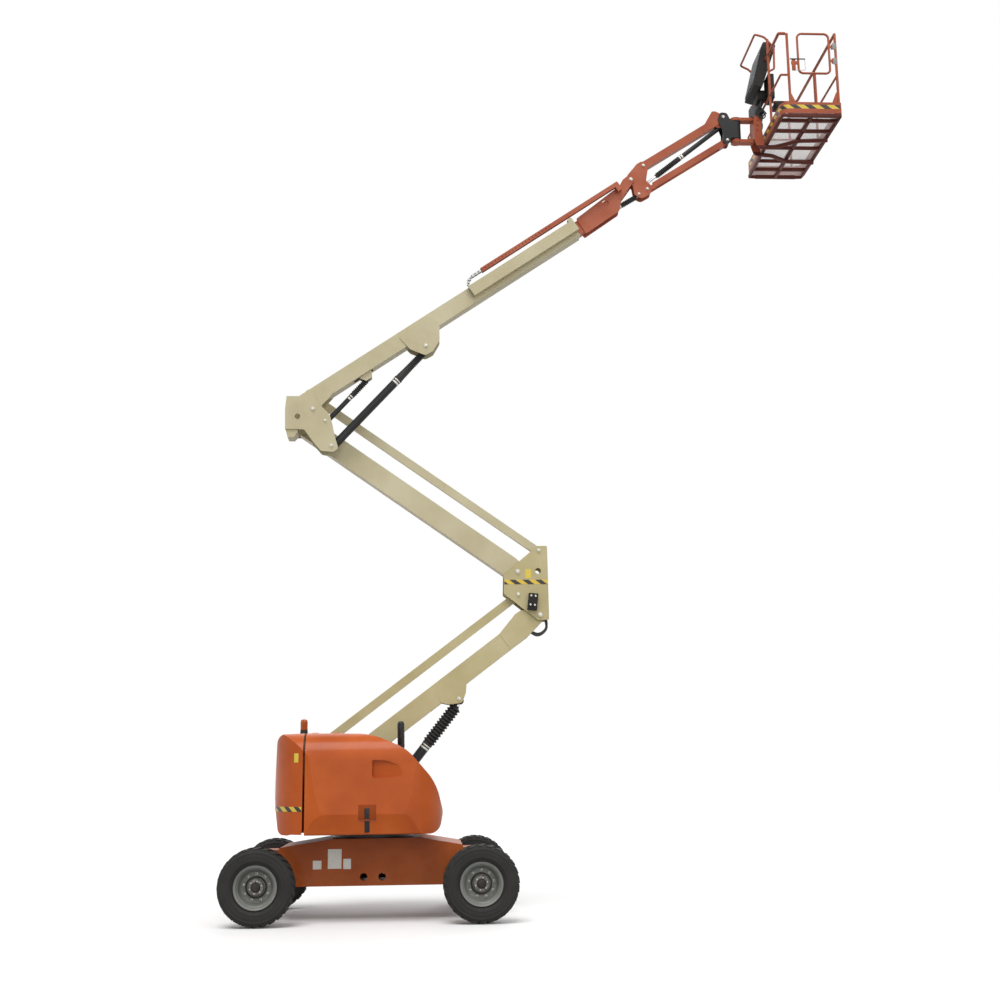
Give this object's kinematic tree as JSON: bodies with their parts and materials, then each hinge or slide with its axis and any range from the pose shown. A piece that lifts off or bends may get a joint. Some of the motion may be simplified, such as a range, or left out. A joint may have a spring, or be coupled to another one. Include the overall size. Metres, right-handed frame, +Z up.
{
  "type": "articulating boom lift",
  "caption": "Self-propelled lift with a folding two-stage tower, a telescoping main boom and a jib that carry a railed work platform.",
  "frame": {"origin": "on the floor under the middle of the wheelbase, on the swing axis", "axes": "+X from the steered axle to the drive axle and out to the platform, +Y to the far side, +Z up"},
  "size_m": [7.445, 2.28, 11.1729],
  "materials": {
    "orange_paint": "gloss",
    "orange_cover": "gloss",
    "orange_cast": "gloss",
    "cream_paint": "satin",
    "faded_orange": "satin",
    "black_paint": "satin",
    "engine_grey": "satin",
    "tyre": "matte",
    "rim_grey": "satin",
    "amber": "gloss",
    "track_silver": "satin",
    "console_black": "matte",
    "floor_metal": "satin"
  },
  "bodies": {
    "chassis": {"chassis_frame": "orange_paint", "slewing_ring": "black_paint", "steer_axle": "black_paint", "drive_axle": "black_paint"},
    "steer_knuckle_near": {"steer_knuckle_near": "black_paint"},
    "steer_knuckle_far": {"steer_knuckle_far": "black_paint"},
    "wheel_steer_near": {"tyre_steer_near": "tyre", "rim_steer_near": "rim_grey"},
    "wheel_steer_far": {"tyre_steer_far": "tyre", "rim_steer_far": "rim_grey"},
    "wheel_drive_near": {"tyre_drive_near": "tyre", "rim_drive_near": "rim_grey"},
    "wheel_drive_far": {"tyre_drive_far": "tyre", "rim_drive_far": "rim_grey"},
    "turntable": {"turntable_deck": "orange_paint", "counterweight": "orange_cast", "engine_block": "engine_grey", "exhaust_pipe": "black_paint", "beacon": "amber"},
    "hood_near": {"hood_near": "orange_cover"},
    "hood_far": {"hood_far": "orange_cover"},
    "lower_boom": {"lower_boom": "cream_paint"},
    "lower_link": {"lower_link": "cream_paint"},
    "knuckle": {"knuckle": "cream_paint"},
    "mid_boom": {"mid_boom": "cream_paint"},
    "upper_link": {"upper_link": "cream_paint"},
    "upright": {"upright": "cream_paint"},
    "tower_cylinder_barrel": {"tower_cylinder_barrel": "black_paint"},
    "tower_cylinder_rod": {"tower_cylinder_rod": "black_paint"},
    "main_boom": {"main_boom": "cream_paint", "track_tray": "cream_paint"},
    "lift_cylinder_barrel": {"lift_cylinder_barrel": "black_paint"},
    "lift_cylinder_rod": {"lift_cylinder_rod": "black_paint"},
    "master_cylinder_barrel": {"master_cylinder_barrel": "black_paint"},
    "master_cylinder_rod": {"master_cylinder_rod": "black_paint"},
    "fly_boom": {"fly_boom": "faded_orange", "push_tube": "faded_orange"},
    "track_bend": {"track_bend": "track_silver"},
    "jib_knuckle": {"jib_knuckle": "faded_orange"},
    "slave_cylinder_barrel": {"slave_cylinder_barrel": "black_paint"},
    "slave_cylinder_rod": {"slave_cylinder_rod": "black_paint"},
    "jib_boom": {"jib_boom": "faded_orange"},
    "jib_link": {"jib_link": "faded_orange"},
    "jib_head": {"jib_head": "black_paint"},
    "jib_cylinder_barrel": {"jib_cylinder_barrel": "black_paint"},
    "jib_cylinder_rod": {"jib_cylinder_rod": "black_paint"},
    "platform": {"platform_support": "faded_orange", "platform_floor": "floor_metal", "platform_rails": "faded_orange", "control_console": "console_black"},
    "platform_gate": {"platform_gate": "faded_orange"}
  },
  "joints": [
    {"name": "steering_near", "type": "hinge", "parent": "chassis", "child": "steer_knuckle_near", "pos_m": [-1.22, -0.735, 0.42], "axis": [0, 0, 1], "range_deg": [-35, 35]},
    {"name": "steering_far", "type": "hinge", "parent": "chassis", "child": "steer_knuckle_far", "pos_m": [-1.22, 0.735, 0.42], "axis": [0, 0, 1], "range_deg": [-35, 35]},
    {"name": "wheel_steer_near", "type": "hinge", "parent": "steer_knuckle_near", "child": "wheel_steer_near", "pos_m": [-1.22, -0.985, 0.42], "axis": [0, 1, 0], "continuous": true},
    {"name": "wheel_steer_far", "type": "hinge", "parent": "steer_knuckle_far", "child": "wheel_steer_far", "pos_m": [-1.22, 0.985, 0.42], "axis": [0, 1, 0], "continuous": true},
    {"name": "wheel_drive_near", "type": "hinge", "parent": "chassis", "child": "wheel_drive_near", "pos_m": [1.22, -0.985, 0.42], "axis": [0, 1, 0], "continuous": true},
    {"name": "wheel_drive_far", "type": "hinge", "parent": "chassis", "child": "wheel_drive_far", "pos_m": [1.22, 0.985, 0.42], "axis": [0, 1, 0], "continuous": true},
    {"name": "swing", "type": "hinge", "parent": "chassis", "child": "turntable", "pos_m": [0, 0, 0.975], "axis": [0, 0, 1], "range_deg": [-177.5, 177.5]},
    {"name": "hood_near", "type": "hinge", "parent": "turntable", "child": "hood_near", "pos_m": [0, -0.305, 2.066], "axis": [-1, 0, 0], "range_deg": [0, 60]},
    {"name": "hood_far", "type": "hinge", "parent": "turntable", "child": "hood_far", "pos_m": [0, 0.4, 2.066], "axis": [1, 0, 0], "range_deg": [0, 60]},
    {"name": "tower_lift", "type": "hinge", "parent": "turntable", "child": "lower_boom", "pos_m": [-0.5, 0.21, 1.59], "axis": [0, -1, 0], "range_deg": [-40, 29]},
    {"name": "lower_link", "type": "hinge", "parent": "turntable", "child": "lower_link", "pos_m": [-0.766, 0.21, 1.84], "axis": [0, -1, 0], "range_deg": [-40, 29]},
    {"name": "knuckle", "type": "hinge", "parent": "lower_boom", "child": "knuckle", "pos_m": [2.012, 0.21, 3.479], "axis": [0, 1, 0], "range_deg": [-40, 29]},
    {"name": "mid_boom", "type": "hinge", "parent": "knuckle", "child": "mid_boom", "pos_m": [1.741, 0.21, 4.01], "axis": [0, 1, 0], "range_deg": [-33.2, 24.07]},
    {"name": "upper_link", "type": "hinge", "parent": "knuckle", "child": "upper_link", "pos_m": [2.002, 0.21, 4.273], "axis": [0, 1, 0], "range_deg": [-33.2, 24.07]},
    {"name": "upright", "type": "hinge", "parent": "mid_boom", "child": "upright", "pos_m": [-0.945, 0.21, 5.9], "axis": [0, -1, 0], "range_deg": [-33.2, 24.07]},
    {"name": "tower_cylinder_barrel", "type": "hinge", "parent": "turntable", "child": "tower_cylinder_barrel", "pos_m": [0.01, 0.21, 1.15], "axis": [0, -1, 0], "range_deg": [-40.82, 29.6]},
    {"name": "tower_cylinder_rod", "type": "slide", "parent": "tower_cylinder_barrel", "child": "tower_cylinder_rod", "axis": [0.6179, 0, 0.7862], "range_m": [-0.438, 0.318]},
    {"name": "main_lift", "type": "hinge", "parent": "upright", "child": "main_boom", "pos_m": [-0.758, -0.03, 5.997], "axis": [0, -1, 0], "range_deg": [-42, 41]},
    {"name": "lift_cylinder_barrel", "type": "hinge", "parent": "upright", "child": "lift_cylinder_barrel", "pos_m": [-0.528, -0.03, 5.536], "axis": [0, -1, 0], "range_deg": [-37.78, 36.88]},
    {"name": "lift_cylinder_rod", "type": "slide", "parent": "lift_cylinder_barrel", "child": "lift_cylinder_rod", "axis": [0.6787, 0, 0.7344], "range_m": [-0.337, 0.329]},
    {"name": "master_cylinder_barrel", "type": "hinge", "parent": "upright", "child": "master_cylinder_barrel", "pos_m": [-0.609, -0.03, 5.849], "axis": [0, -1, 0], "range_deg": [-41.66, 40.67]},
    {"name": "master_cylinder_rod", "type": "slide", "parent": "master_cylinder_barrel", "child": "master_cylinder_rod", "axis": [0.675, 0, 0.7378], "range_m": [-0.141, 0.138]},
    {"name": "fly_extend", "type": "slide", "parent": "main_boom", "child": "fly_boom", "axis": [0.829, 0, 0.5592], "range_m": [0, 2.1]},
    {"name": "track_bend", "type": "slide", "parent": "main_boom", "child": "track_bend", "axis": [0.829, 0, 0.5592], "range_m": [0, 1.05]},
    {"name": "jib_knuckle", "type": "hinge", "parent": "fly_boom", "child": "jib_knuckle", "pos_m": [3.264, -0.03, 9.07], "axis": [0, 1, 0], "range_deg": [-42, 41]},
    {"name": "slave_cylinder_barrel", "type": "hinge", "parent": "fly_boom", "child": "slave_cylinder_barrel", "pos_m": [2.5706, -0.03, 8.39415], "axis": [0, -1, 0], "range_deg": [-0.32, 0.32]},
    {"name": "slave_cylinder_rod", "type": "slide", "parent": "slave_cylinder_barrel", "child": "slave_cylinder_rod", "axis": [0.8535, 0, 0.5211], "range_m": [-0.141, 0.144]},
    {"name": "jib_lift", "type": "hinge", "parent": "jib_knuckle", "child": "jib_boom", "pos_m": [3.435, -0.03, 9.273], "axis": [0, -1, 0], "range_deg": [-92, 42]},
    {"name": "jib_link", "type": "hinge", "parent": "jib_knuckle", "child": "jib_link", "pos_m": [3.477, -0.03, 8.952], "axis": [0, -1, 0], "range_deg": [-92, 42]},
    {"name": "jib_head", "type": "hinge", "parent": "jib_boom", "child": "jib_head", "pos_m": [4.51, -0.03, 9.965], "axis": [0, 1, 0], "range_deg": [-92, 42]},
    {"name": "jib_cylinder_barrel", "type": "hinge", "parent": "jib_boom", "child": "jib_cylinder_barrel", "pos_m": [4.48732, -0.03, 9.85526], "axis": [0, -1, 0], "range_deg": [-0.6, 1.3]},
    {"name": "jib_cylinder_rod", "type": "slide", "parent": "jib_cylinder_barrel", "child": "jib_cylinder_rod", "axis": [-0.7812, 0, -0.6242], "range_m": [-0.313, 0.143]},
    {"name": "platform_turn", "type": "hinge", "parent": "jib_head", "child": "platform", "pos_m": [4.683, -0.03, 9.796], "axis": [0, 0, 1], "range_deg": [-90, 90]},
    {"name": "platform_gate", "type": "hinge", "parent": "platform", "child": "platform_gate", "pos_m": [5.74, -0.923, 10.4], "axis": [0, 0, -1], "range_deg": [0, 90]}
  ],
  "couplings": [
    {"joint": "steering_far", "follows": "steering_near", "ratio": 1},
    {"joint": "lower_link", "follows": "tower_lift", "ratio": 1},
    {"joint": "knuckle", "follows": "tower_lift", "ratio": 1},
    {"joint": "mid_boom", "follows": "tower_lift", "ratio": 0.83},
    {"joint": "upper_link", "follows": "tower_lift", "ratio": 0.83},
    {"joint": "upright", "follows": "tower_lift", "ratio": 0.83},
    {"joint": "tower_cylinder_barrel", "follows": "tower_lift", "ratio": 1.0204},
    {"joint": "tower_cylinder_rod", "follows": "tower_lift", "m_per_rad": 0.62722},
    {"joint": "lift_cylinder_barrel", "follows": "main_lift", "ratio": 0.89941},
    {"joint": "lift_cylinder_rod", "follows": "main_lift", "m_per_rad": 0.45954},
    {"joint": "master_cylinder_barrel", "follows": "main_lift", "ratio": 0.99185},
    {"joint": "master_cylinder_rod", "follows": "main_lift", "m_per_rad": 0.19192},
    {"joint": "track_bend", "follows": "fly_extend", "ratio": 0.5},
    {"joint": "jib_knuckle", "follows": "main_lift", "ratio": 1},
    {"joint": "slave_cylinder_barrel", "follows": "main_lift", "ratio": 0.007615},
    {"joint": "slave_cylinder_rod", "follows": "main_lift", "m_per_rad": -0.19636},
    {"joint": "jib_link", "follows": "jib_lift", "ratio": 1},
    {"joint": "jib_head", "follows": "jib_lift", "ratio": 1},
    {"joint": "jib_cylinder_barrel", "follows": "jib_lift", "ratio": -0.0141},
    {"joint": "jib_cylinder_rod", "follows": "jib_lift", "m_per_rad": 0.1946}
  ]
}
